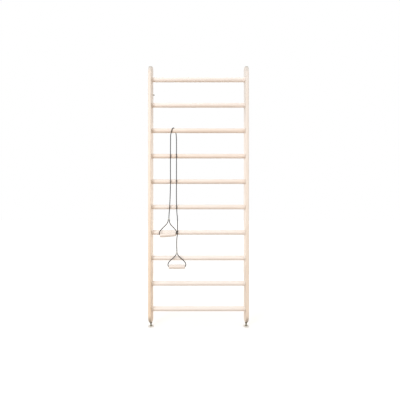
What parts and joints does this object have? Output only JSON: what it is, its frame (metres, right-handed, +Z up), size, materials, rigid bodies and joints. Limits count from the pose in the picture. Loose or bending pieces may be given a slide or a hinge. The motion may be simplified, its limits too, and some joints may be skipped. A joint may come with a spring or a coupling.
{
  "type": "swedish wall bars",
  "caption": "Pale wooden gymnastic wall bars with round rungs between round-nosed uprights, screw feet and a black pull cord with two wooden grips over one rung.",
  "frame": {"origin": "floor level under the middle of the bars: midway between the uprights and midway through their depth", "axes": "+Z up along the uprights, +X to the right seen from the front, +Y back towards the wall"},
  "size_m": [0.892, 0.12, 2.302],
  "materials": {
    "wood": "clear satin lacquer on pale wood",
    "zinc": "zinc plated",
    "pad": "pale grey, matte",
    "cord": "black braided cord"
  },
  "bodies": {
    "frame": {"upright_left": "wood", "upright_right": "wood", "rung_01": "wood", "rung_02": "wood", "rung_03": "wood", "rung_04": "wood", "rung_05": "wood", "rung_06": "wood", "rung_07": "wood", "rung_08": "wood", "rung_09": "wood", "rung_10": "wood", "rung_screw_left_01": "zinc", "rung_screw_left_02": "zinc", "rung_screw_left_03": "zinc", "rung_screw_left_04": "zinc", "rung_screw_left_05": "zinc", "rung_screw_left_06": "zinc", "rung_screw_left_07": "zinc", "rung_screw_left_08": "zinc", "rung_screw_left_09": "zinc", "rung_screw_left_10": "zinc", "rung_screw_right_01": "zinc", "rung_screw_right_02": "zinc", "rung_screw_right_03": "zinc", "rung_screw_right_04": "zinc", "rung_screw_right_05": "zinc", "rung_screw_right_06": "zinc", "rung_screw_right_07": "zinc", "rung_screw_right_08": "zinc", "rung_screw_right_09": "zinc", "rung_screw_right_10": "zinc", "plate_screw_left_1": "zinc", "plate_screw_left_2": "zinc", "plate_screw_right_1": "zinc", "plate_screw_right_2": "zinc", "wall_plate_left": "zinc", "foot_insert_left": "zinc", "foot_nut_left": "zinc", "strand_left": "cord", "wall_plate_right": "zinc", "foot_insert_right": "zinc", "foot_nut_right": "zinc", "strand_right": "cord", "cord_on_bars": "cord"},
    "left_foot_pad": {"foot_pad_left": "pad"},
    "left_foot_stem": {"foot_stem_left": "zinc"},
    "right_foot_pad": {"foot_pad_right": "pad"},
    "right_foot_stem": {"foot_stem_right": "zinc"},
    "left_cord_end": {"cord_sleeve_left": "zinc"},
    "left_handle": {"yoke_left": "cord"},
    "left_grip": {"grip_left": "wood"},
    "right_cord_end": {"cord_sleeve_right": "zinc"},
    "right_handle": {"yoke_right": "cord"},
    "right_grip": {"grip_right": "wood"}
  },
  "joints": [
    {"name": "left_foot_turn", "type": "hinge", "parent": "left_foot_pad", "child": "left_foot_stem", "pos_m": [-0.421, 0.012, 0.03], "axis": [0, 0, 1], "range_deg": [-3086, 2469]},
    {"name": "left_foot_travel", "type": "slide", "parent": "frame", "child": "left_foot_pad", "axis": [0, 0, 1], "range_m": [-0.015, 0.012]},
    {"name": "right_foot_turn", "type": "hinge", "parent": "right_foot_pad", "child": "right_foot_stem", "pos_m": [0.421, 0.012, 0.03], "axis": [0, 0, 1], "range_deg": [-3086, 2469]},
    {"name": "right_foot_travel", "type": "slide", "parent": "frame", "child": "right_foot_pad", "axis": [0, 0, 1], "range_m": [-0.015, 0.012]},
    {"name": "left_cord_run", "type": "slide", "parent": "frame", "child": "left_cord_end", "axis": [0, 0, 1], "range_m": [-0.055, 0.5], "deforming": ["strand_left"]},
    {"name": "left_handle_swing", "type": "hinge", "parent": "left_cord_end", "child": "left_handle", "pos_m": [-0.2568, -0.0369, 0.941], "axis": [-1, 0, 0], "range_deg": [0, 75]},
    {"name": "left_grip_spin", "type": "hinge", "parent": "left_handle", "child": "left_grip", "pos_m": [-0.2652, -0.039, 0.817], "axis": [0.9969, 0, 0.0785], "continuous": true},
    {"name": "right_cord_run", "type": "slide", "parent": "frame", "child": "right_cord_end", "axis": [0, 0, 1], "range_m": [-0.5, 0.055], "deforming": ["strand_right"]},
    {"name": "right_handle_swing", "type": "hinge", "parent": "right_cord_end", "child": "right_handle", "pos_m": [-0.1874, -0.0372, 0.6505], "axis": [-1, 0, 0], "range_deg": [0, 75]},
    {"name": "right_grip_spin", "type": "hinge", "parent": "right_handle", "child": "right_grip", "pos_m": [-0.1874, -0.039, 0.541], "axis": [1, 0, 0], "continuous": true}
  ],
  "couplings": [
    {"joint": "left_foot_turn", "follows": "left_foot_travel", "rad_per_m": 3590.4},
    {"joint": "right_foot_turn", "follows": "right_foot_travel", "rad_per_m": 3590.4},
    {"joint": "right_cord_run", "follows": "left_cord_run", "ratio": -1}
  ]
}
